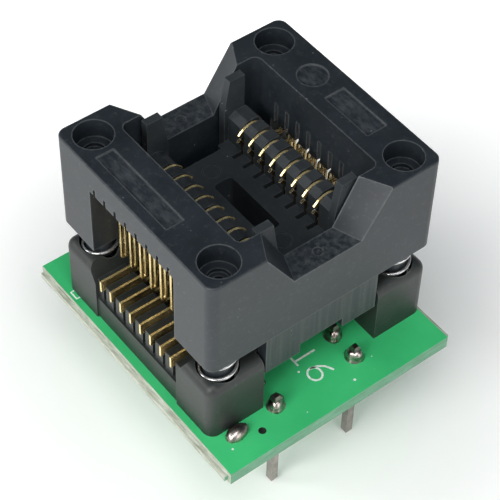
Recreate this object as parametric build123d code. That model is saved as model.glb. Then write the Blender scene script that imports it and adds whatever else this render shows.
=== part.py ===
from build123d import *
import os

os.makedirs("parts", exist_ok=True)

# An SO-16 chip socket with a push-down cover, soldered to a small board with two rows of DIP pins.
# Sizes are in millimetres. X runs across the contact rows, Y along them and Z up.
# The origin lies under the middle of the board, level with the tips of the pins.
# Sizes of the socket are measured from the socket's own centre and from the top of the board.

# Standard pitches and counts
contact_pitch = 1.27
contacts_per_row = 8
pin_pitch = 2.54
pin_row_spacing = 7.62
pins_per_row = 8

# Where the middle of the pins lies, a little off the middle of the board
pins_x = -0.3
pins_y = -0.5

# Outline that the base and the cover share
body_x = 20.6
body_y = 18.6
half_x = body_x / 2
half_y = body_y / 2

# Board, with the snapped web of its V-cut edges and one plated through hole
board_side_margin = 0.2
board_end_margin = 3.0
board_x = body_x + 2 * board_side_margin
board_y = body_y + 2 * board_end_margin
board_thickness = 1.2
snap_web_out = 0.35
snap_web_thickness = 0.5
snap_web_short = 0.3
via_radius = 0.3
via_x = -6.3
via_y = -10.6

# Square pins
pin_width = 0.64
pin_below_board = 8.6
pin_above_board = 1.3
pin_point_length = 0.3
pin_point_width = 0.42
pin_hole_clearance = 0.06

# Solder
solder_radius = 0.74
solder_neck_radius = 0.48
solder_height = 0.8
tail_solder_radius = 0.5
tail_solder_height = 0.45
spare_pad_x = -7.95
spare_pad_y = -9.64
spare_pad_half_length = 1.0
spare_pad_half_width = 0.62
spare_pad_height = 0.62

# Where the socket's centre sits on the board
socket_x = 0.4
socket_y = 0.3

# Stamped sheet of the contacts, and the room it has in slots and between teeth
contact_thickness = 0.2
slot_clearance = 0.08
slot_width = contact_thickness + 2 * slot_clearance

# Coil springs and their seats
spring_inset_x = 2.1
spring_inset_y = 1.9
spring_wire = 0.28
spring_mean_radius = 1.38
spring_turns = 7
spring_well_clearance = 0.12
spring_boss_clearance = 0.1
spring_well_floor = 1.0

# Socket base
base_corner_radius = 0.85
post_inner_x = 5.4
post_inner_y = 5.15
post_height = 5.6
post_top_round = 0.8
post_slope_run = 0.85
post_slope_drop = 1.7
floor_bottom = 1.9
floor_top = 3.1
floor_half_y = 6.4
bridge_thickness = 0.5
side_wall_top = 2.2
side_wall_recess = 0.15
side_wall_thickness = 0.5
rib_inner_x = 7.4
rib_outer_inset = 0.2
rib_height = 1.1
catch_wall_thickness = 0.8
catch_wall_top = 5.5
catch_lip_inner_x = 2.2
catch_lip_out = 0.5
catch_lip_height = 0.55

# Chip nest
nest_half_width = 2.1
nest_half_length = 5.7
nest_top = 10.6
nest_end_gap_half_x = 2.0
nest_hole_half_x = 0.85
nest_hole_half_y = 3.0
nest_hole_corner = 0.3
ejector_mark_y = 4.25
ejector_mark_radius = 0.78
ejector_mark_groove = 0.12
ejector_mark_depth = 0.08
comb_inner_x = 3.0
comb_inner_top = 13.0
comb_crest_inner_x = 3.6
comb_crest_outer_x = 4.6
comb_crest_top = 13.4
comb_outer_x = 4.9
comb_outer_top = 13.05
comb_end_y = 6.15
guide_thickness = 0.65
guide_inner_x = 2.6
guide_lead_top_x = 3.05
guide_outer_x = 4.45
guide_lead_z = 13.8

# Cover and its travel down to the posts
cover_travel = 2.2
cover_stop_gap = 0.1
cover_bottom = post_height + cover_travel + cover_stop_gap
cover_top = 16.95
cover_corner_radius = 0.8
cover_top_round = 0.18
guide_below_cover = 0.35
well_half_x = 6.2
guide_to_well_gap = 0.2
well_half_y = comb_end_y + guide_thickness + guide_to_well_gap
well_corner_radius = 0.6
saddle_z = 13.0
shoulder_outer_low_x = 3.04
shoulder_outer_high_x = 5.6
shoulder_inner_low_x = 2.2
shoulder_inner_high_x = 4.35
window_half_y = 5.05
window_top = 14.4
inner_wall_thickness = 0.5
inner_wall_bottom = 11.9
head_slot_clearance = 0.75
counterbore_radius = 1.5
counterbore_depth = 1.7
step_radius = 0.85
step_depth = 0.35
core_hole_radius = 0.45
boss_drop = 3.0
skirt_side_clearance = 0.2
skirt_recess = 0.12
skirt_thickness = 0.9
skirt_drop = 3.9
skirt_notch_half_x = 2.0
skirt_notch_height = 0.95
hook_inner_x = 2.35
hook_outer_x = 4.7
hook_height = 0.8
hook_depth = 0.52
cam_low_x = 7.84
cam_high_x = 9.14
cam_slot_outer_x = 9.39
cam_slot_height = 1.6
cam_notch_width = 0.3
cam_notch_height = 0.6
recess_depth = 0.12
round_recess_x = 8.2
round_recess_y = 2.84
round_recess_radius = 1.2
right_recess_x = 8.3
right_recess_y = -1.95
right_recess_size_x = 1.8
right_recess_size_y = 4.8
left_recess_x = -8.6
left_recess_y = 1.2
left_recess_size_x = 1.5
left_recess_size_y = 8.4
saddle_mark_radius = 0.4
saddle_mark_depth = 0.06

# Contact outline
plate_top = 4.85
plate_height = 1.1
plate_outer_inset = 0.02
plate_inner_x = 7.1
tail_width = 0.4
tail_inner_x = 7.9
tail_outer_x = 9.2
tail_below_board = 0.9
tail_hole_radius = 0.34
support_arm_width = 0.36
support_post_x = 3.25
support_tip_x = 2.65
support_bend_z = 11.3
support_tip_z = 12.1
leg_width = 0.22
leg_foot_x = 7.22
leg_top_x = 7.46
leg_top_z = 10.05
leg_spacing = 0.38
leg_loop_z = 6.2
lever_gap = 0.8
lever_width = 0.26
head_width = 0.42
head_z = 10.75
head_bend_radius = 0.3
elbow_x = 5.75
crest_outer_x = 4.35
crest_inner_x = 3.35
crest_z = 13.12
tip_x = 2.72
tip_z = 12.5

# Worked out from the sizes above
board_top = pin_below_board + board_thickness
socket_place = Pos(socket_x, socket_y, board_top)
wall_x = half_x - side_wall_recess
rib_outer_x = wall_x - rib_outer_inset
plate_outer_x = half_x - plate_outer_inset
plate_bottom = plate_top - plate_height
spring_x = half_x - spring_inset_x
spring_y = half_y - spring_inset_y
spring_well_radius = spring_mean_radius + spring_wire / 2 + spring_well_clearance
boss_radius = spring_mean_radius - spring_wire / 2 - spring_boss_clearance
catch_wall_inner_y = comb_end_y + guide_thickness
catch_wall_outer_y = catch_wall_inner_y + catch_wall_thickness
guide_top = cover_top - guide_below_cover
skirt_half_x = post_inner_x - skirt_side_clearance
skirt_bottom = cover_bottom - skirt_drop
lever_top = window_top - lever_gap
head_slot_top = head_z + head_width / 2 + cover_travel + head_slot_clearance
contact_ys = [contact_pitch * (i - (contacts_per_row - 1) / 2) for i in range(contacts_per_row)]
tooth_ys = [contact_pitch * (i - contacts_per_row / 2) for i in range(contacts_per_row + 1)]
tooth_width = contact_pitch - slot_width
pin_xs = [pins_x - pin_row_spacing / 2, pins_x + pin_row_spacing / 2]
pin_ys = [pins_y + pin_pitch * (i - (pins_per_row - 1) / 2) for i in range(pins_per_row)]
sides = (-1, 1)
corners = [(side, end) for side in sides for end in sides]
side_names = {-1: "left", 1: "right"}
end_names = {-1: "front", 1: "back"}


def block(x0, x1, y0, y1, z0, z1):
    """A box between two corners."""
    middle = Pos((x0 + x1) / 2, (y0 + y1) / 2, (z0 + z1) / 2)
    return middle * Box(abs(x1 - x0), abs(y1 - y0), abs(z1 - z0))


def rod(x, y, z0, z1, radius):
    """An upright cylinder between two heights."""
    return Pos(x, y, (z0 + z1) / 2) * Cylinder(radius, z1 - z0)


def tapered_bar(x, y, z0, z1, width0, width1):
    """An upright square bar that changes width from one end to the other."""
    low = Pos(x, y, z0) * Rectangle(width0, width0)
    high = Pos(x, y, z1) * Rectangle(width1, width1)
    return loft([low.face(), high.face()])


def outline(*points):
    """A flat face with straight edges through the given points."""
    return make_face(Polyline(*points, close=True))


def upright(face, width):
    """A plate standing on edge, drawn in X and Z and centred on Y."""
    return extrude(Plane.XZ * face, width / 2, both=True)


def save(solid, name):
    """Write one piece to its own file."""
    solid.label = name
    export_step(solid, f"parts/{name}.step")


def tail_x(index):
    """Neighbouring contacts have their solder tails in two staggered lines."""
    return tail_inner_x if index % 2 == 0 else tail_outer_x


# Board with its drilled holes and the snapped web along its edges
def make_board():
    z0 = pin_below_board
    board = block(-board_x / 2, board_x / 2, -board_y / 2, board_y / 2, z0, board_top)
    web_x = board_x / 2 + snap_web_out
    web_y = board_y / 2 - snap_web_short
    web_z = (z0 + board_top - snap_web_thickness) / 2
    board += block(-web_x, web_x, -web_y, web_y, web_z, web_z + snap_web_thickness)
    pin_hole_radius = pin_width / 2**0.5 + pin_hole_clearance
    for x in pin_xs:
        for y in pin_ys:
            board -= rod(x, y, z0, board_top, pin_hole_radius)
    for side in sides:
        for i, y in enumerate(contact_ys):
            x = socket_x + side * tail_x(i)
            board -= rod(x, socket_y + y, z0, board_top, tail_hole_radius)
    board -= rod(via_x, via_y, z0, board_top, via_radius)
    return board


# Square pin, pointed at both ends
def make_pin(x, y):
    half = pin_width / 2
    low = pin_point_length
    top = board_top + pin_above_board
    high = top - pin_point_length
    pin = block(x - half, x + half, y - half, y + half, low, high)
    pin += tapered_bar(x, y, 0, low, pin_point_width, pin_width)
    pin += tapered_bar(x, y, high, top, pin_width, pin_point_width)
    return pin


# Cone of solder around each pin where it comes through the board
def make_pin_solder():
    joints = []
    half = pin_width / 2
    for x in pin_xs:
        for y in pin_ys:
            cone = Cone(solder_radius, solder_neck_radius, solder_height)
            cone = Pos(x, y, board_top + solder_height / 2) * cone
            pin = block(x - half, x + half, y - half, y + half, 0, board_top + pin_above_board)
            joints.append(cone - pin)
    return Compound(children=joints)


# Solder under the board around each contact's tail
def make_tail_solder():
    joints = []
    for side in sides:
        for i, contact_y in enumerate(contact_ys):
            x = socket_x + side * tail_x(i)
            y = socket_y + contact_y
            cone = Cone(tail_width / 2 + slot_clearance, tail_solder_radius, tail_solder_height)
            cone = Pos(x, y, pin_below_board - tail_solder_height / 2) * cone
            dx = tail_width / 2
            dy = contact_thickness / 2
            joints.append(cone - block(x - dx, x + dx, y - dy, y + dy, 0, board_top))
    return Compound(children=joints)


# Lump of solder on an unused pad
def make_spare_solder():
    place = Pos(spare_pad_x, spare_pad_y, board_top)
    lump = scale(Sphere(1), (spare_pad_half_length, spare_pad_half_width, spare_pad_height))
    reach = spare_pad_half_length
    return (place * lump) & (place * block(-reach, reach, -reach, reach, 0, reach))


# Socket base: four corner posts with spring wells, a raised floor and two low side walls
def make_base():
    posts = extrude(RectangleRounded(body_x, body_y, base_corner_radius), post_height)
    posts = fillet(posts.faces().sort_by(Axis.Z)[-1].edges(), post_top_round)
    posts -= block(-post_inner_x, post_inner_x, -half_y, half_y, 0, post_height)
    posts -= block(-half_x, half_x, -post_inner_y, post_inner_y, 0, post_height)
    for end in sides:
        slope = make_face(
            Polyline(
                (0, end * post_inner_y, post_height),
                (0, end * (post_inner_y + post_slope_run), post_height),
                (0, end * post_inner_y, post_height - post_slope_drop),
                close=True,
            )
        )
        posts -= extrude(slope, half_x, dir=(1, 0, 0), both=True)
    base = posts
    floor_x = wall_x - side_wall_thickness
    base += block(-wall_x, wall_x, -post_inner_y, post_inner_y, floor_bottom, side_wall_top)
    base += block(-floor_x, floor_x, -post_inner_y, post_inner_y, floor_bottom, floor_top)
    base += block(-post_inner_x, post_inner_x, -floor_half_y, floor_half_y, floor_bottom, floor_top)
    for side in sides:
        base += block(side * floor_x, side * wall_x, -post_inner_y, post_inner_y, 0, side_wall_top)
        for y in tooth_ys:
            y0 = y - tooth_width / 2
            y1 = y + tooth_width / 2
            rib_top = floor_top + rib_height
            base += block(side * rib_inner_x, side * rib_outer_x, y0, y1, side_wall_top, rib_top)
    for end in sides:
        y0 = end * floor_half_y
        y1 = end * catch_wall_outer_y
        base += block(-post_inner_x, post_inner_x, y0, y1, floor_top - bridge_thickness, floor_top)
        y0 = end * catch_wall_inner_y
        base += block(-post_inner_x, post_inner_x, y0, y1, floor_top, catch_wall_top)
        y0 = end * (catch_wall_outer_y + catch_lip_out)
        lip_z = catch_wall_top - catch_lip_height
        for side in sides:
            base += block(side * catch_lip_inner_x, side * post_inner_x, y0, y1, lip_z, catch_wall_top)
    for side in sides:
        for i, y in enumerate(contact_ys):
            x = side * tail_x(i)
            dx = tail_width / 2 + slot_clearance
            dy = slot_width / 2
            base -= block(x - dx, x + dx, y - dy, y + dy, 0, floor_top)
    for side, end in corners:
        base -= rod(side * spring_x, end * spring_y, spring_well_floor, post_height, spring_well_radius)
    return base


# Chip nest: platform with a through hole, combs that part the contacts, and four corner guides
def make_nest():
    width = nest_half_width
    length = nest_half_length
    nest = block(-width, width, -length, length, floor_top, nest_top)
    comb = outline(
        (0, floor_top),
        (comb_outer_x, floor_top),
        (comb_outer_x, comb_outer_top),
        (comb_crest_outer_x, comb_crest_top),
        (comb_crest_inner_x, comb_crest_top),
        (comb_inner_x, comb_inner_top),
        (comb_inner_x, nest_top),
        (0, nest_top),
    )
    guide = outline(
        (guide_inner_x, floor_top),
        (guide_outer_x, floor_top),
        (guide_outer_x, guide_top),
        (guide_lead_top_x, guide_top),
        (guide_inner_x, guide_lead_z),
    )
    tooth = upright(comb, tooth_width)
    tooth += mirror(tooth, Plane.YZ)
    for y in tooth_ys[1:-1]:
        nest += Pos(0, y, 0) * tooth
    end_tooth_y = tooth_ys[-1] - tooth_width / 2
    end_tooth = upright(comb, comb_end_y - end_tooth_y)
    end_tooth += mirror(end_tooth, Plane.YZ)
    corner_guide = upright(guide, guide_thickness)
    corner_guide += mirror(corner_guide, Plane.YZ)
    for end in sides:
        nest += Pos(0, end * (comb_end_y + end_tooth_y) / 2, 0) * end_tooth
        nest += Pos(0, end * (comb_end_y + guide_thickness / 2), 0) * corner_guide
        gap = nest_end_gap_half_x
        nest -= block(-gap, gap, end * length, end * comb_end_y, floor_top, nest_top)
    hole = RectangleRounded(2 * nest_hole_half_x, 2 * nest_hole_half_y, nest_hole_corner)
    nest -= extrude(hole, nest_top)
    for end in sides:
        z = nest_top - ejector_mark_depth
        y = end * ejector_mark_y
        ring = rod(0, y, z, nest_top, ejector_mark_radius)
        ring -= rod(0, y, z, nest_top, ejector_mark_radius - ejector_mark_groove)
        nest -= ring
    return nest


def shoulder_cut(end):
    """The gap between the sloped shoulders at one end of the cover, wider at the outer face."""
    overshoot = half_y - well_half_y
    skew_low = shoulder_outer_low_x - shoulder_inner_low_x
    skew_high = shoulder_outer_high_x - shoulder_inner_high_x
    top = cover_top + cover_top_round
    faces = []
    for y, low, high in (
        (well_half_y - overshoot, shoulder_inner_low_x - skew_low, shoulder_inner_high_x - skew_high),
        (half_y + overshoot, shoulder_outer_low_x + skew_low, shoulder_outer_high_x + skew_high),
    ):
        over = high + cover_top_round * (high - low) / (cover_top - saddle_z)
        low_edge = [(-low, end * y, saddle_z), (low, end * y, saddle_z)]
        top_edge = [(over, end * y, top), (-over, end * y, top)]
        faces.append(outline(*low_edge, *top_edge))
    return loft(faces, ruled=True)


# Wall that hangs from a rail's inner side, with a slot over each contact's sprung arm
def make_inner_wall(side):
    inner = side * well_half_x
    outer = inner + side * inner_wall_thickness
    wall = block(inner, outer, -window_half_y, window_half_y, inner_wall_bottom, window_top)
    for y in contact_ys:
        y0 = y - slot_width / 2
        y1 = y + slot_width / 2
        wall -= block(inner, outer, y0, y1, inner_wall_bottom, head_slot_top)
    return wall


# Slot under a rail whose sloped inner side pushes one contact's lever outward
def make_cam_slot(side):
    top = window_top + cam_slot_height
    slot = outline(
        (cam_low_x, window_top),
        (cam_slot_outer_x, window_top),
        (cam_slot_outer_x, top),
        (cam_high_x, top),
    )
    slot = upright(slot, slot_width)
    notch_top = window_top + cam_notch_height
    half = cam_notch_width / 2
    slot += block(cam_slot_outer_x, half_x, -half, half, window_top, notch_top)
    return slot if side > 0 else mirror(slot, Plane.YZ)


# Skirt that hangs from one end of the cover, with two hooks that catch the base
def make_skirt(end):
    outer = end * (half_y - skirt_recess)
    inner = outer - end * skirt_thickness
    skirt = block(-skirt_half_x, skirt_half_x, inner, outer, skirt_bottom, cover_bottom)
    notch_x = skirt_notch_half_x
    skirt -= block(-notch_x, notch_x, inner, outer, skirt_bottom, skirt_bottom + skirt_notch_height)
    for side in sides:
        hook_inner = inner - end * hook_depth
        hook_top = skirt_bottom + hook_height
        skirt += block(side * hook_inner_x, side * hook_outer_x, hook_inner, inner, skirt_bottom, hook_top)
    return skirt


# Cover: two long rails joined by low saddles, with side windows, corner legs and end skirts
def make_cover():
    cover = extrude(RectangleRounded(body_x, body_y, cover_corner_radius), cover_top - cover_bottom)
    cover = Pos(0, 0, cover_bottom) * cover
    cover = fillet(cover.faces().sort_by(Axis.Z)[-1].edges(), cover_top_round)
    well = RectangleRounded(2 * well_half_x, 2 * well_half_y, well_corner_radius)
    cover -= Pos(0, 0, cover_bottom) * extrude(well, cover_top - cover_bottom)
    cover -= block(-half_x, half_x, -window_half_y, window_half_y, cover_bottom, window_top)
    mark_y = (well_half_y + half_y) / 2
    for end in sides:
        cover -= shoulder_cut(end)
        cover += make_skirt(end)
        cover -= rod(0, end * mark_y, saddle_z - saddle_mark_depth, saddle_z, saddle_mark_radius)
    counterbore_z = cover_top - counterbore_depth
    for side, end in corners:
        x = side * spring_x
        y = end * spring_y
        cover += rod(x, y, cover_bottom - boss_drop, cover_bottom, boss_radius)
        cover -= rod(x, y, cover_bottom - boss_drop, counterbore_z, core_hole_radius)
        cover -= rod(x, y, counterbore_z, cover_top, counterbore_radius)
        cover -= rod(x, y, counterbore_z - step_depth, counterbore_z, step_radius)
    for side in sides:
        cover += make_inner_wall(side)
        slot = make_cam_slot(side)
        for y in contact_ys:
            cover -= Pos(0, y, 0) * slot
    recess_z = cover_top - recess_depth / 2
    cover -= Pos(round_recess_x, round_recess_y, recess_z) * Cylinder(round_recess_radius, recess_depth)
    right_recess = Box(right_recess_size_x, right_recess_size_y, recess_depth)
    cover -= Pos(right_recess_x, right_recess_y, recess_z) * right_recess
    left_recess = Box(left_recess_size_x, left_recess_size_y, recess_depth)
    cover -= Pos(left_recess_x, left_recess_y, recess_z) * left_recess
    return cover


# Coil spring, standing in its well under one leg of the cover
def make_spring(side, end):
    low = spring_well_floor + spring_wire / 2
    height = cover_bottom - spring_wire / 2 - low
    path = Pos(0, 0, low) * Helix(height / spring_turns, height, spring_mean_radius)
    start = Plane(origin=path @ 0, z_dir=path % 0)
    coil = sweep(start * Circle(spring_wire / 2), path, is_frenet=True)
    return Pos(side * spring_x, end * spring_y, 0) * coil


# Stamped contact: plate with a solder tail, support arm, folded spring legs, lever and sprung arm
def make_contact(side, index):
    foot = plate_bottom
    x = tail_x(index)
    tail_end = -board_thickness - tail_below_board
    dx = tail_width / 2
    dy = contact_thickness / 2
    plate = block(plate_inner_x, plate_outer_x, -dy, dy, foot, plate_top)
    tail = block(x - dx, x + dx, -dy, dy, tail_end, foot)
    support_line = FilletPolyline(
        (plate_inner_x, foot + support_arm_width / 2),
        (support_post_x, foot + support_arm_width / 2),
        (support_post_x, support_bend_z),
        (support_tip_x, support_tip_z),
        radius=head_bend_radius,
    )
    bend = leg_spacing / 2
    down_x = leg_top_x + leg_spacing
    up_x = down_x + leg_spacing
    over_z = leg_top_z - bend - leg_width / 2
    under_z = leg_loop_z + bend + leg_width / 2
    leg_lines = [
        Line((leg_foot_x, plate_top - leg_width), (leg_top_x, over_z)),
        CenterArc((leg_top_x + bend, over_z), bend, 0, 180),
        Line((down_x, over_z), (down_x, under_z)),
        CenterArc((down_x + bend, under_z), bend, 180, 180),
        Line((up_x, under_z), (up_x, head_z)),
    ]
    head_line = FilletPolyline(
        (up_x, head_z),
        (elbow_x, head_z),
        (crest_outer_x, crest_z),
        (crest_inner_x, crest_z),
        (tip_x, tip_z),
        radius=head_bend_radius,
    )
    shape = trace(support_line, support_arm_width)
    shape += trace(leg_lines, leg_width)
    shape += trace(head_line, head_width)
    shape += trace(Line((up_x, head_z), (up_x, lever_top)), lever_width)
    contact = plate + tail + upright(shape, contact_thickness)
    if side < 0:
        contact = mirror(contact, Plane.YZ)
    return Pos(0, contact_ys[index], 0) * contact


save(make_board(), "circuit_board")
for side, x in zip(sides, pin_xs):
    for i, y in enumerate(pin_ys):
        save(make_pin(x, y), f"{side_names[side]}_dip_pin_{i + 1}")
save(make_pin_solder(), "pin_solder_joints")
save(make_tail_solder(), "contact_solder_joints")
save(make_spare_solder(), "spare_pad_solder")
save(socket_place * make_base(), "socket_base")
save(socket_place * make_nest(), "chip_nest")
save(socket_place * make_cover(), "push_cover")
for side, end in corners:
    save(socket_place * make_spring(side, end), f"{side_names[side]}_{end_names[end]}_spring")
for side in sides:
    for i in range(contacts_per_row):
        save(socket_place * make_contact(side, i), f"{side_names[side]}_contact_{i + 1}")
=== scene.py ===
import math
from collections import namedtuple

import bpy
from mathutils import Matrix, Vector


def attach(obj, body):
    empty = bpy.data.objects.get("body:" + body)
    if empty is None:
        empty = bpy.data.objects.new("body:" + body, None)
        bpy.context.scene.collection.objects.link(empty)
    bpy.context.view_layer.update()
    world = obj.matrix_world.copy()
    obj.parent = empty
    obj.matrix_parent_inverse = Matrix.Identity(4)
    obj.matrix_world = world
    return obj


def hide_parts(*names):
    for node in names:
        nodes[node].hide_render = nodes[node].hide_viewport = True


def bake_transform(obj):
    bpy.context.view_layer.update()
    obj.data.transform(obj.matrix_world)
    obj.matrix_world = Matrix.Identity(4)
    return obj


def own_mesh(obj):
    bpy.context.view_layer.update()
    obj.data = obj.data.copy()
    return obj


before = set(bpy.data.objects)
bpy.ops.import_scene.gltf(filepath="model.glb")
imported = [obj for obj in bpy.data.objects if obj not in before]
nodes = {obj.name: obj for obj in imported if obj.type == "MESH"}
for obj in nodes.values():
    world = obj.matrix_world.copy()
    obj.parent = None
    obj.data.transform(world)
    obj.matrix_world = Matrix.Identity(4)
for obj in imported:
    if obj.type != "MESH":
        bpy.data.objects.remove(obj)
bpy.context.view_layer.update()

# Lengths are in millimetres, and times MM in Blender's metres
MM = 0.001
X, Y, Z = 0, 1, 2
TOP = 9.8  # the board's top, above the pin tips
SX, SY = 0.4, 0.3  # the socket's centre
PER_ROW = 8  # contacts or pins in a row
MIDDLE = (PER_ROW - 1) / 2  # of a row, in steps from its first
PITCH = 1.27  # of the contacts
PIN_X, PIN_Y = -0.3, -0.5  # the middle of the pins
PIN_ROW, PIN_PITCH = 3.81, 2.54
PAD_X, PAD_Y = -7.95, -9.7
SPRING_X, SPRING_Y = 8.2, 7.4  # from the socket's centre
SPRING_LOW, SPRING_HIGH = 1.0, 7.9  # above the board
VIA, VIA_RADIUS = (-6.3, -10.6), 0.305
SNAPPED_X = 10.47  # the board's snapped webs lie further out
BOARD_SPECKS = [
    ((-9.03, -10.59), 0.09),
    ((2.13, -11.12), 0.11),
    ((-0.79, -8.02), 0.1),
    ((4.6, -10.2), 0.05),
    ((-2.6, -11.3), 0.05),
]
SIDES = ((-1, "left"), (1, "right"))
ENDS = ((-1, "front"), (1, "back"))


# Materials


class Shader:
    """The node tree of a material or a world, with a short call for each kind of node."""

    def __init__(self, owner):
        owner.use_nodes = True
        self.nodes, self.links = owner.node_tree.nodes, owner.node_tree.links
        self.nodes.clear()

    def node(self, kind, inputs=None, **settings):
        """A new node. Inputs go by name or number, and each is a plain value or an output."""
        n = self.nodes.new(kind)
        for key, value in settings.items():
            setattr(n, key, value)
        for key, value in (inputs or {}).items():
            socket = n.inputs[key]
            if isinstance(value, bpy.types.NodeSocket):
                self.links.new(value, socket)
            elif socket.type == "RGBA":
                socket.default_value = (*value, 1.0)
            else:
                socket.default_value = value
        return n

    def math(self, operation, *values, clamp=False):
        inputs = dict(enumerate(values))
        n = self.node("ShaderNodeMath", inputs, operation=operation, use_clamp=clamp)
        return n.outputs[0]

    def times(self, a, b, clamp=False):
        return self.math("MULTIPLY", a, b, clamp=clamp)

    def vector_math(self, operation, *values):
        inputs = dict(enumerate(values))
        return self.node("ShaderNodeVectorMath", inputs, operation=operation).outputs["Value"]

    def mix(self, factor, a, b):
        """Colour a where the factor is 0 and b where it is 1."""
        return self.node("ShaderNodeMix", {0: factor, 6: a, 7: b}, data_type="RGBA").outputs[2]

    def ramp(self, factor, *stops):
        """A gradient. Each stop is a factor with the grey or the colour that belongs to it."""
        n = self.node("ShaderNodeValToRGB", {0: factor})
        elements = n.color_ramp.elements
        while len(elements) < len(stops):
            elements.new(0.5)
        for element, (place, color) in zip(elements, stops):
            if not isinstance(color, tuple):
                color = (color, color, color)
            element.position = place
            element.color = (*color, 1.0)
        return n.outputs[0]

    def rescale(self, value, given=(0.0, 1.0), wanted=(0.0, 1.0), **settings):
        """The given range of the value turned into the wanted one."""
        names = ("From Min", "From Max", "To Min", "To Max")
        inputs = {"Value": value, **dict(zip(names, (*given, *wanted)))}
        return self.node("ShaderNodeMapRange", inputs, **settings).outputs["Result"]

    def place(self):
        """The point on the part, in metres in the shared frame."""
        return self.node("ShaderNodeTexCoord").outputs["Object"]

    def along(self, vector, axis):
        return self.node("ShaderNodeSeparateXYZ", {0: vector}).outputs[axis]

    def stretched(self, vector, scale):
        return self.node("ShaderNodeMapping", {"Vector": vector, "Scale": scale}).outputs[0]

    def noise(self, vector, scale, detail=4.0, rough=0.55):
        inputs = {"Vector": vector, "Scale": scale, "Detail": detail, "Roughness": rough}
        return self.node("ShaderNodeTexNoise", inputs).outputs["Fac"]

    def edges(self, radius):
        """1 where two faces meet in a sharp edge, from the surface's own shape."""
        bevel = self.node("ShaderNodeBevel", {"Radius": radius * MM}, samples=6)
        geometry = self.node("ShaderNodeNewGeometry")
        alike = self.vector_math("DOT_PRODUCT", bevel.outputs["Normal"], geometry.outputs["Normal"])
        return self.rescale(self.math("SUBTRACT", 1.0, alike), given=(0.02, 0.12))

    def facing(self, axis):
        """How squarely the surface faces along one of the part's own axes, from 0 to 1."""
        normal = self.node("ShaderNodeNewGeometry").outputs["Normal"]
        return self.math("ABSOLUTE", self.along(normal, axis))

    def between(self, vector, low, high):
        """1 between two heights, and 0 elsewhere."""
        height = self.along(vector, Z)
        above = self.math("GREATER_THAN", height, low * MM)
        below = self.math("LESS_THAN", height, high * MM)
        return self.times(above, below)

    def spot(self, vector, place, radius):
        """1 within a radius of an upright line through the part, and 0 elsewhere."""
        flat = self.stretched(vector, (1.0, 1.0, 0.0))
        away = self.vector_math("DISTANCE", flat, (place[X] * MM, place[Y] * MM, 0.0))
        return self.math("LESS_THAN", away, radius * MM)

    def specks(self, vector, density, size, patch_scale, patch_range):
        """1 in small scattered dots, which lie only in patches, and 0 elsewhere."""
        cells = self.node("ShaderNodeTexVoronoi", {"Vector": vector, "Scale": density})
        dots = self.ramp(cells.outputs["Distance"], (size[0], 1.0), (size[1], 0.0))
        patchy = self.noise(vector, patch_scale, 2)
        patches = self.ramp(patchy, (patch_range[0], 0.0), (patch_range[1], 1.0))
        return self.times(dots, patches)

    def output(self, surface, kind="ShaderNodeOutputMaterial"):
        self.node(kind, {"Surface": surface.outputs[0]})

    def finish(self, color, rough, height, strength, distance=0.02, metallic=0.0):
        inputs = {"Height": height, "Strength": strength, "Distance": distance * MM}
        normal = self.node("ShaderNodeBump", inputs).outputs["Normal"]
        inputs = {"Base Color": color, "Roughness": rough, "Metallic": metallic, "Normal": normal}
        self.output(self.node("ShaderNodeBsdfPrincipled", inputs))


def new_material(name):
    material = bpy.data.materials.new(name)
    return material, Shader(material)


# A scuff on the faces that look along one axis, between two heights above the pin tips.
# stretch pulls its noise into streaks, and amount is how strongly its colour shows.
Mark = namedtuple("Mark", "axis low high stretch color amount")


def moulded_plastic(name, dark, light, dust_wear_and_sheen, rough, specks, edge_wear_and_sheen, edge, marks=()):
    """Black plastic with cloudy colour, dust, pale specks, scuffs, and pale edges that are partly
    wear and partly a painted highlight.
    """
    material, s = new_material(name)
    at = s.place()
    broad = s.noise(at, 260, 5, 0.6)
    fine = s.noise(at, 2600, 6, 0.7)
    grain = s.noise(at, 9000, 2, 0.5)
    cloudy = s.ramp(broad, (0.3, dark), (0.72, light))
    dust = s.ramp(fine, (0.55, 0.0), (0.75, 1.0))
    color = s.mix(s.times(dust, 0.25), cloudy, dust_wear_and_sheen)
    pale = s.specks(at, 1500, (0.05, 0.11), 520, (0.52, 0.6))
    color = s.mix(s.times(pale, specks), color, (0.45, 0.47, 0.48))
    for mark in marks:
        streaky = s.noise(s.stretched(at, mark.stretch), 2400, 5, 0.7)
        streaks = s.ramp(streaky, (0.42, 0.0), (0.66, 1.0))
        squarely = s.math("GREATER_THAN", s.facing(mark.axis), 0.8)
        where = s.times(s.times(streaks, s.between(at, mark.low, mark.high)), squarely)
        color = s.mix(s.times(where, mark.amount), color, mark.color)
    # The sharp edges are painted pale: partly wear, partly a painted highlight.
    edges = s.times(s.edges(edge), fine)
    color = s.mix(s.times(edges, edge_wear_and_sheen, clamp=True), color, dust_wear_and_sheen)
    height = s.math("ADD", s.times(grain, 0.6), s.times(fine, 0.5))
    s.finish(color, s.rescale(broad, wanted=rough), height, strength=0.35)
    return material


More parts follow.
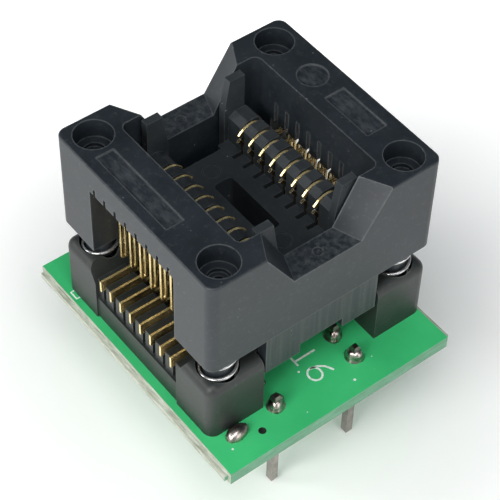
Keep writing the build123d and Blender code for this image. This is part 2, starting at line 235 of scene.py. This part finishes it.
def stamped_sheet(s, at, color):
    """Adds painted light to the sheet: painted shade that darkens the broad faces, which look along
    Y, in patches and darkens the levers low in the nest, and a painted highlight on the edges.
    """
    # Where the painted shade of the nest begins: nearer the middle than this and lower than this
    shade_x, shade_top = 3.55, 12.2
    # Painted shade: the broad faces are painted dark brown in patches, for the shade that
    # neighbouring contacts and ribs cast on them.
    shaded_broad_face = s.ramp(s.facing(Y), (0.6, 0.0), (0.85, 1.0))
    patchy = s.ramp(s.noise(at, 420, 2), (0.4, (0.14, 0.1, 0.04)), (0.62, (0.62, 0.46, 0.2)))
    color = s.mix(shaded_broad_face, color, patchy)
    # Painted shade: the sheet that lies nearer the socket's middle than 3.55 and lower than 12.2 is
    # painted near-black, for the shade low in the nest.
    from_middle = s.math("ABSOLUTE", s.math("SUBTRACT", s.along(at, X), SX * MM))
    shaded_inner = s.math("LESS_THAN", from_middle, shade_x * MM)
    low = s.math("LESS_THAN", s.along(at, Z), (TOP + shade_top) * MM)
    color = s.mix(s.times(shaded_inner, low), color, (0.07, 0.05, 0.025))
    # Painted highlight: the sheet's sharp edges are painted pale cream.
    return s.mix(s.times(s.edges(0.05), 0.7), color, (1.0, 0.9, 0.55))


def metal(name, bright, shade, rough, scale=1800, strength=0.2, metallic=1.0, stamped=False):
    material, s = new_material(name)
    at = s.place()
    fine = s.noise(at, scale, 5, 0.6)
    color = s.ramp(fine, (0.3, shade), (0.7, bright))
    if stamped:
        color = stamped_sheet(s, at, color)
    s.finish(color, s.rescale(fine, wanted=rough), fine, strength, metallic=metallic)
    return material


def board_material():
    """Green mask with specks, fibrous cream along the snapped long sides, pale cut ends, and the
    via's hole painted near-black as painted shade.
    """
    material, s = new_material("green_board")
    at = s.place()
    fine = s.noise(at, 3500, 5, 0.65)
    mask = s.ramp(s.noise(at, 160, 4), (0.3, (0.034, 0.42, 0.14)), (0.7, (0.05, 0.52, 0.18)))
    residue = s.specks(at, 900, (0.035, 0.07), 400, (0.6, 0.68))
    color = s.mix(s.times(residue, 0.8), mask, (0.7, 0.78, 0.72))
    for place, radius in BOARD_SPECKS:
        color = s.mix(s.spot(at, place, radius), color, (0.75, 0.8, 0.76))

    fibres = s.noise(s.stretched(at, (1.0, 0.12, 1.0)), 5200, 6, 0.75)
    fibre_colors = ((0.3, (0.2, 0.22, 0.16)), (0.5, (0.42, 0.45, 0.37)), (0.7, (0.64, 0.67, 0.6)))
    snapped = s.math("GREATER_THAN", s.math("ABSOLUTE", s.along(at, X)), SNAPPED_X * MM)
    side_x = s.ramp(s.math("MAXIMUM", s.facing(X), snapped), (0.4, 0.0), (0.6, 1.0))
    color = s.mix(side_x, color, s.ramp(fibres, *fibre_colors))

    cut = s.noise(s.stretched(at, (0.12, 1.0, 1.0)), 4200, 5, 0.7)
    side_y = s.ramp(s.facing(Y), (0.4, 0.0), (0.6, 1.0))
    pale = s.ramp(cut, (0.3, (0.1, 0.27, 0.15)), (0.7, (0.2, 0.42, 0.28)))
    color = s.mix(side_y, color, pale)

    # Painted shade: the via's hole is painted near-black.
    color = s.mix(s.spot(at, VIA, VIA_RADIUS), color, (0.012, 0.014, 0.012))
    side = s.math("MAXIMUM", side_x, side_y)
    rough = s.math("ADD", s.times(side, 0.4), 0.34)
    height = s.math("ADD", s.times(fine, 0.08), s.times(fibres, side))
    s.finish(color, rough, height, strength=0.5, distance=0.06)
    return material


def ink_material():
    material, s = new_material("white_ink")
    fine = s.noise(s.place(), 6000, 4)
    tone = s.ramp(fine, (0.35, (0.5, 0.68, 0.55)), (0.6, (0.85, 0.9, 0.86)))
    s.finish(tone, 0.6, fine, strength=0.2, distance=0.01)
    return material


cover_black = moulded_plastic(
    "cover_plastic",
    dark=(0.008, 0.012, 0.016),
    light=(0.018, 0.024, 0.03),
    dust_wear_and_sheen=(0.12, 0.13, 0.135),
    rough=(0.38, 0.52),
    specks=0.3,
    edge_wear_and_sheen=1.3,
    edge=0.2,
    marks=(
        # drag lines on the skirts, then the floors of the recesses, then the saddles
        Mark(Y, 13.6, 17.6, (1.0, 1.0, 0.03), (0.075, 0.08, 0.08), 0.5),
        Mark(Z, 26.6, 26.66, (1.0, 0.35, 1.0), (0.075, 0.085, 0.095), 0.55),
        Mark(Z, 22.73, 22.84, (1.0, 1.0, 1.0), (0.07, 0.08, 0.084), 0.85),
    ),
)
base_black = moulded_plastic(
    "base_plastic",
    dark=(0.012, 0.015, 0.014),
    light=(0.026, 0.031, 0.029),
    dust_wear_and_sheen=(0.11, 0.12, 0.115),
    rough=(0.4, 0.55),
    specks=0.15,
    edge_wear_and_sheen=0.8,
    edge=0.12,
)
nest_black = moulded_plastic(
    "nest_plastic",
    dark=(0.014, 0.018, 0.021),
    light=(0.034, 0.04, 0.044),
    dust_wear_and_sheen=(0.11, 0.12, 0.125),
    rough=(0.42, 0.58),
    specks=0.7,
    edge_wear_and_sheen=0.9,
    edge=0.08,
)
gold = metal(
    "contact_gold",
    bright=(1.0, 0.83, 0.42),
    shade=(0.88, 0.66, 0.28),
    rough=(0.18, 0.34),
    metallic=0.78,
    stamped=True,
)
steel = metal(
    "spring_steel",
    bright=(0.62, 0.62, 0.62),
    shade=(0.36, 0.36, 0.36),
    rough=(0.12, 0.24),
    metallic=0.75,
)
nickel = metal(
    "pin_nickel",
    bright=(0.3, 0.275, 0.25),
    shade=(0.12, 0.11, 0.1),
    rough=(0.26, 0.4),
    scale=900,
    strength=0.12,
)
tin = metal(
    "solder_tin",
    bright=(0.55, 0.51, 0.47),
    shade=(0.22, 0.185, 0.16),
    rough=(0.16, 0.4),
    scale=1400,
    strength=0.9,
)
board_green = board_material()
ink = ink_material()


def dress(obj, material):
    obj.data.materials.clear()
    obj.data.materials.append(material)


def soften(obj, width):
    """Bevels the edges that turn by more than 35 degrees."""
    b = obj.modifiers.new("softened_edges", "BEVEL")
    b.width = width * MM
    b.segments = 2
    b.limit_method = "ANGLE"
    b.angle_limit = math.radians(35)


# Each node takes the first material whose word is in its name
LOOKS = [
    ("push_cover", cover_black),
    ("socket_base", base_black),
    ("chip_nest", nest_black),
    ("circuit_board", board_green),
    ("dip_pin", nickel),
    ("solder", tin),
    ("contact", gold),
    ("spring", steel),
]
for name, node in nodes.items():
    dress(node, next(material for word, material in LOOKS if word in name))
for name, width in (("push_cover", 0.09), ("socket_base", 0.08), ("chip_nest", 0.05)):
    soften(nodes[name], width)


# Meshes


def point(x, y, z):
    """A point given from the socket's centre and the board's top."""
    return Vector(((SX + x) * MM, (SY + y) * MM, (TOP + z) * MM))


def mesh_object(name, verts, faces, material, smooth=True):
    mesh = bpy.data.meshes.new(name)
    mesh.from_pydata([tuple(v) for v in verts], [], faces)
    mesh.update()
    obj = bpy.data.objects.new(name, mesh)
    bpy.context.scene.collection.objects.link(obj)
    dress(obj, material)
    if smooth:
        mesh.polygons.foreach_set("use_smooth", [True] * len(mesh.polygons))
    return obj


def loft(first, rings, around, start_cap=True, end_cap=True):
    """Faces that join equal rings of points, the first of which starts at the index first."""
    faces = []
    last = first + (rings - 1) * around
    for ring in range(first, last, around):
        for k in range(around):
            a, b = ring + k, ring + (k + 1) % around
            faces.append((a, b, b + around, a + around))
    if start_cap:
        faces.append(tuple(range(first + around - 1, first - 1, -1)))
    if end_cap:
        faces.append(tuple(range(last, last + around)))
    return faces


def turn_angle(k, around):
    return 2 * math.pi * k / around


# Springs, with closed ends


def coil_path(wire):
    """The middle of the wire: open turns between a nearly flat part of a turn at each end."""
    radius, open_turns, steps = 1.38, 5.0, 260
    closed, rise = 0.75, 0.22  # each flat part's share of a turn and the height it climbs
    start = 3.25  # the angle at which the wire begins
    low, high = SPRING_LOW + wire, SPRING_HIGH - wire
    turns = open_turns + 2 * closed
    path = []
    for i in range(steps + 1):
        turn = i / steps * turns
        if turn < closed:
            z = low + rise * turn / closed
        elif turn > turns - closed:
            z = high - rise * (turns - turn) / closed
        else:
            z = low + rise + (high - low - 2 * rise) * (turn - closed) / open_turns
        a = 2 * math.pi * turn + start
        path.append(Vector((radius * math.cos(a), radius * math.sin(a), z)))
    return path


def spring(name, node, side, end):
    wire, around = 0.13, 10
    path = coil_path(wire)
    last = len(path) - 1
    verts = []
    for i, p in enumerate(path):
        forward = (path[min(i + 1, last)] - path[max(i - 1, 0)]).normalized()
        out = Vector((p.x, p.y, 0)).normalized()
        up = forward.cross(out).normalized()
        for k in range(around):
            b = turn_angle(k, around)
            v = p + out * (wire * math.cos(b)) + up * (wire * math.sin(b))
            verts.append(point(side * SPRING_X + v.x, end * SPRING_Y + v.y, v.z))
    obj = mesh_object(name, verts, loft(0, len(path), around), steel)
    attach(obj, "adapter")
    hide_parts(node)
    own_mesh(obj)


for side, side_name in SIDES:
    for end, end_name in ENDS:
        corner = f"{side_name}_{end_name}"
        spring(f"{corner}_coil", f"{corner}_spring", side, end)


# Contacts, drawn in X and Z and given the sheet's thickness along Y

SHEET = 0.1  # half the sheet's thickness
INSET, HEAD_INSET = 0.002, 0.003  # keep crossing strips of one sheet from sharing a face
CHAMFER = 0.02
STRIP_POINTS = 8  # round a strip, at each step of its path
LEG_WIDTH, LEG_SPACING = 0.22, 0.38
LEG_X = 7.46  # the first folded leg
FOLDS_LOW, FOLDS_HIGH = 6.2, 10.05
TAILS_X = (7.9, 9.2)  # by turns, in two lines


def rounded(points, radius, steps=6):
    """The path through the points with each corner turned into a smooth curve."""
    out = [Vector(points[0])]
    for before, at, after in zip(points, points[1:-1], points[2:]):
        before, at, after = Vector(before), Vector(at), Vector(after)
        back = min(radius, (before - at).length * 0.5)
        ahead = min(radius, (after - at).length * 0.5)
        a = at + (before - at).normalized() * back
        b = at + (after - at).normalized() * ahead
        for i in range(steps + 1):
            t = i / steps
            out.append(a * (1 - t) ** 2 + at * (2 * t * (1 - t)) + b * t**2)
    out.append(Vector(points[-1]))
    return out


def fold(cx, cz, radius, start, sweep, steps=12):
    """A bend in the leg, from a start angle through a sweep, in degrees."""
    angles = [math.radians(start + sweep * i / steps) for i in range(steps + 1)]
    return [Vector((cx + radius * math.cos(a), cz + radius * math.sin(a))) for a in angles]


def ribbon(points, width, end_width, half, side, y):
    """Points round a bent strip of sheet, with its cut edges chamfered."""
    verts = []
    last = len(points) - 1
    for i, p in enumerate(points):
        forward = points[min(i + 1, last)] - points[max(i - 1, 0)]
        normal = Vector((-forward.y, forward.x)).normalized()
        w = (width + (end_width - width) * i / last) / 2
        c = min(CHAMFER, w * 0.5)
        corners = ((w, half - c), (w - c, half), (-w + c, half), (-w, half - c))
        section = ((w, -half + c), *corners, (-w, -half + c), (-w + c, -half), (w - c, -half))
        for across, depth in section:
            q = p + normal * across
            verts.append(point(side * q.x, y + depth * side, q.y))
    return verts


def sheet_object(name, side, y, strips):
    """A gold piece made of strips, each a path, a width at either end and half a thickness."""
    verts, faces = [], []
    for points, width, end_width, half in strips:
        faces += loft(len(verts), len(points), STRIP_POINTS)
        verts += ribbon(points, width, end_width, half, side, y)
    return mesh_object(name, verts, faces, gold, smooth=False)


def contact(side, side_name, index):
    """One contact: an arm drawn along its folded legs, and a foot that stays still."""
    y = PITCH * (index - MIDDLE)
    bend = LEG_SPACING / 2
    over = FOLDS_HIGH - bend - LEG_WIDTH / 2
    under = FOLDS_LOW + bend + LEG_WIDTH / 2
    up_x = LEG_X + 2 * LEG_SPACING
    legs = [Vector((7.22, 4.4)), Vector((7.34, 7.0))]
    legs += list(reversed(fold(LEG_X + bend, over, bend, 0, 180)))
    legs += fold(LEG_X + LEG_SPACING + bend, under, bend, 180, 180)
    legs += [Vector((up_x, 8.5)), Vector((up_x, 10.6)), Vector((up_x + 0.01, 12.0))]
    legs.append(Vector((up_x, 13.6)))
    head_points = [(up_x + 0.05, 10.75), (5.75, 10.75), (4.35, 13.12), (3.35, 13.12), (2.72, 12.5)]
    head = rounded(head_points, 0.55)
    arm_strips = [(legs, LEG_WIDTH, LEG_WIDTH, SHEET), (head, 0.46, 0.36, SHEET - HEAD_INSET)]
    sprung = sheet_object(f"{side_name}_contact_{index + 1}_sprung_arm", side, y, arm_strips)
    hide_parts(f"{side_name}_contact_{index + 1}")
    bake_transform(sprung)

    tail_x = TAILS_X[index % 2]
    plate = [Vector((x, 4.3)) for x in (7.1, 8.7, 10.28)]
    tail = [Vector((tail_x, z)) for z in (3.9, 0.0, -2.0, -2.1)]
    support = rounded([(7.2, 3.93), (3.25, 3.93), (3.25, 11.3), (2.65, 12.1)], 0.4)
    foot_strips = [
        (plate, 1.1, 1.1, SHEET),
        (tail, 0.4, 0.4, SHEET - INSET),
        (support, 0.36, 0.36, SHEET - INSET),
    ]
    foot = sheet_object(f"{side_name}_contact_{index + 1}_foot", side, y, foot_strips)
    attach(foot, "adapter")


for side, side_name in SIDES:
    for index in range(PER_ROW):
        contact(side, side_name, index)


# Solder


def solder_object(name, node, verts, faces):
    obj = mesh_object(name, verts, faces, tin)
    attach(obj, "adapter")
    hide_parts(node)


def pin_lumps():
    """A lumpy cone round each pin, which leans and differs a little from pin to pin."""
    verts, faces = [], []
    around, even_levels = 24, 3
    profile = [(0.76, -0.005), (0.75, 0.06), (0.66, 0.18), (0.62, 0.38)]
    profile += [(0.57, 0.58), (0.47, 0.76), (0.34, 0.88), (0.2, 0.92)]
    for row, x in enumerate((PIN_X - PIN_ROW, PIN_X + PIN_ROW)):
        for i in range(PER_ROW):
            y = PIN_Y + PIN_PITCH * (i - MIDDLE)
            seed = 1.7 * i + 4.1 * row
            faces += loft(len(verts), len(profile), around, start_cap=False)
            for level, (radius, z) in enumerate(profile):
                lean = 0.14 * z
                for k in range(around):
                    a = turn_angle(k, around)
                    lump = 1 + 0.12 * math.sin(2 * a + seed)
                    lump += 0.08 * math.sin(3 * a + 2.3 * seed + 3 * z)
                    lump += 0.04 * math.sin(5 * a - seed + 4 * z)
                    r = radius * (lump if level else 1.0)
                    uneven = 0.05 * math.sin(a + 1.9 * seed) if level >= even_levels else 0
                    px = x + r * math.cos(a) + lean * math.cos(seed)
                    py = y + r * math.sin(a) + lean * math.sin(seed)
                    verts.append((px * MM, py * MM, (TOP + z + uneven) * MM))
    solder_object("pin_solder_lumps", "pin_solder_joints", verts, faces)


def pad_lump():
    """The low drop on the oval pad."""
    verts = []
    around, rings = 28, 9
    half_long, half_wide, height, lean = 1.0, 0.68, 0.72, 0.1
    for level in range(rings):
        t = level / (rings - 1) * math.pi / 2
        for k in range(around):
            a = turn_angle(k, around)
            lump = 1 + 0.05 * math.sin(2 * a + 0.6) + 0.03 * math.sin(3 * a + 2.0)
            x = PAD_X + half_long * lump * math.cos(t) * math.cos(a) + lean * math.sin(t)
            y = PAD_Y + half_wide * lump * math.cos(t) * math.sin(a)
            verts.append((x * MM, y * MM, (TOP - 0.005 + height * math.sin(t)) * MM))
    faces = loft(0, rings, around, start_cap=False, end_cap=False)
    solder_object("spare_pad_lump", "spare_pad_solder", verts, faces)


pin_lumps()
pad_lump()


# Printed marks on the board: thin ink strokes


def ink_stroke(name, points, width=0.16, closed=False):
    """A flat stroke on the board's top, through points from the socket's centre."""
    ink_top, ink_foot = 0.018, -0.01
    pts = [Vector(p) for p in points]
    if closed:
        pts.append(pts[0])
    verts, faces = [], []
    last = len(pts) - 1
    for i, p in enumerate(pts):
        if closed and i in (0, last):
            forward = pts[1] - pts[-2]
        else:
            forward = pts[min(i + 1, last)] - pts[max(i - 1, 0)]
        normal = Vector((-forward.y, forward.x)).normalized() * (width / 2)
        for q in (p + normal, p - normal):
            verts += [point(q.x, q.y, ink_top), point(q.x, q.y, ink_foot)]
    for a in range(0, 4 * last, 4):
        faces += [(a, a + 2, a + 6, a + 4), (a, a + 4, a + 5, a + 1), (a + 2, a + 3, a + 7, a + 6)]
    obj = mesh_object(name, verts, faces, ink, smooth=False)
    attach(obj, "adapter")


ink_stroke("printed_1", [(-0.87, -7.4), (1.09, -7.4)])
ink_stroke("printed_1_foot", [(-0.87, -7.85), (-0.87, -6.95)])
bowl_angles = [turn_angle(k, 16) for k in range(16)]
bowl = [(-0.33 + 0.56 * math.cos(a), -9.2 + 0.62 * math.sin(a)) for a in bowl_angles]
ink_stroke("printed_6_bowl", bowl, closed=True)
ink_stroke("printed_6_tail", [(-0.33, -8.62), (0.25, -8.72), (0.75, -9.1), (1.1, -9.75)])
corner_mark = [(-10.6, 7.6), (-10.1, 7.6), (-10.05, 7.65)]
corner_mark += [(-10.05, 8.35), (-10.1, 8.4), (-10.6, 8.4)]
ink_stroke("printed_corner_mark", corner_mark, width=0.14, closed=True)


# Floor, light and camera


def white_floor():
    """A white table, which shows the part's shadow near it and glows further away."""
    material, s = new_material("white_table")
    diffuse = s.node("ShaderNodeBsdfDiffuse", {"Color": (0.88, 0.88, 0.865)})
    away = s.vector_math("LENGTH", s.place())
    given, wanted = (12 * MM, 52 * MM), (0.06, 0.75)
    level = s.rescale(away, given, wanted, interpolation_type="SMOOTHSTEP")
    path = s.node("ShaderNodeLightPath")
    seen = s.times(path.outputs["Is Camera Ray"], level)
    mirrored = s.times(path.outputs["Is Glossy Ray"], 0.36)
    strength = s.math("MAXIMUM", seen, mirrored)
    glow = s.node("ShaderNodeEmission", {"Color": (1.0, 1.0, 0.995), "Strength": strength})
    s.output(s.node("ShaderNodeAddShader", {0: diffuse.outputs[0], 1: glow.outputs[0]}))
    mesh = bpy.data.meshes.new("table")
    half = 600 * MM
    corners = [(-half, -half, 0), (half, -half, 0), (half, half, 0), (-half, half, 0)]
    mesh.from_pydata(corners, [], [(0, 1, 2, 3)])
    floor = bpy.data.objects.new("table", mesh)
    bpy.context.scene.collection.objects.link(floor)
    dress(floor, material)


def studio_world():
    """Light that is bright round the horizon and dim overhead, and white for the camera."""
    world = bpy.data.worlds.new("studio")
    bpy.context.scene.world = world
    s = Shader(world)
    sky = s.ramp(
        s.along(s.node("ShaderNodeTexCoord").outputs["Generated"], Z),
        (0.0, (0.95, 0.95, 0.95)),
        (0.2, (0.75, 0.76, 0.77)),
        (0.42, (0.2, 0.225, 0.25)),
        (0.7, (0.09, 0.115, 0.15)),
        (1.0, (0.09, 0.11, 0.14)),
    )
    lit = s.node("ShaderNodeBackground", {"Color": sky, "Strength": 0.55}).outputs[0]
    white = s.node("ShaderNodeBackground", {"Color": (1.0, 1.0, 1.0)}).outputs[0]
    camera_ray = s.node("ShaderNodeLightPath").outputs["Is Camera Ray"]
    chosen = s.node("ShaderNodeMixShader", {0: camera_ray, 1: lit, 2: white})
    s.output(chosen, "ShaderNodeOutputWorld")


def area_light(name, place, aim, size, power, color=(1.0, 1.0, 1.0)):
    light = bpy.data.lights.new(name, "AREA")
    light.size = size * MM
    light.energy = power
    light.color = color
    obj = bpy.data.objects.new(name, light)
    bpy.context.scene.collection.objects.link(obj)
    place, aim = Vector(place) * MM, Vector(aim) * MM
    obj.location = place
    obj.rotation_euler = (place - aim).to_track_quat("Z", "Y").to_euler()


def photo_camera():
    """The camera that was fitted to the photograph."""
    right = Vector((0.79042146, -0.61222561, 0.02034018))
    up = Vector((0.45345879, 0.60712236, 0.65251633))
    back = Vector((-0.41183619, -0.50653947, 0.75750163))
    place = Vector((-53.7496, -66.8662, 115.4679)) * MM
    camera_data = bpy.data.cameras.new("photo_camera")
    camera_data.lens = 125.506
    camera_data.sensor_width = 36
    camera_data.clip_start = 5 * MM
    camera_data.clip_end = 3000 * MM
    camera = bpy.data.objects.new("photo_camera", camera_data)
    bpy.context.scene.collection.objects.link(camera)
    turned = Matrix((right, up, back)).transposed().to_4x4()
    camera.matrix_world = Matrix.Translation(place) @ turned
    bpy.context.scene.camera = camera


white_floor()
studio_world()
area_light("left_window_light", (-170, -40, 120), (0, 0, 14), 110, 0.3, (1.0, 0.99, 0.97))
area_light("front_fill", (20, -190, 90), (0, 0, 14), 120, 0.12)
area_light("left_back_glint", (-150, 105, 105), (0, 0, 22), 60, 0.085)
area_light("overhead_light", (-60, -90, 220), (0, 0, 14), 130, 0.23, (0.98, 0.99, 1.0))
photo_camera()
bpy.context.scene.view_settings.view_transform = "Standard"
